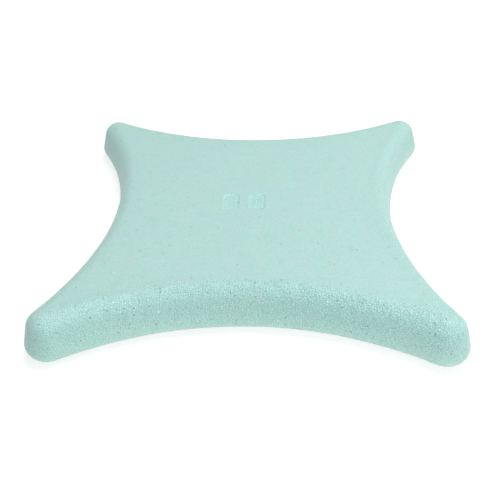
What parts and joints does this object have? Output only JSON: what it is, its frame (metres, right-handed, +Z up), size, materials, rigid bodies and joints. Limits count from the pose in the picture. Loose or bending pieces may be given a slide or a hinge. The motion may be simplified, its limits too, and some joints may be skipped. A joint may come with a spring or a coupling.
{
  "type": "face cradle cushion",
  "caption": "Square moulded-foam cushion with waisted sides, rounded corners and a flat top, dense skin over a soft core, loop tape underneath for a face cradle plate.",
  "frame": {"origin": "middle of the underside, on the plane the cushion rests on", "axes": "+Z up through the thickness, +Y towards the crown strip at the far end of the cradle's U, +X to the right"},
  "size_m": [0.35, 0.35, 0.041],
  "materials": {
    "skin_foam": "matte moulded foam skin with fine bubble grain and a faint sheen",
    "core_foam": "matte open-cell foam",
    "liner_fabric": "plain woven backing cloth",
    "loop_tape": "brushed loop pile tape"
  },
  "bodies": {
    "root": {"moulded_skin": "skin_foam", "foam_core": "core_foam", "base_liner": "liner_fabric", "left_loop_strip": "loop_tape", "right_loop_strip": "loop_tape", "crown_loop_strip": "loop_tape"}
  },
  "joints": []
}
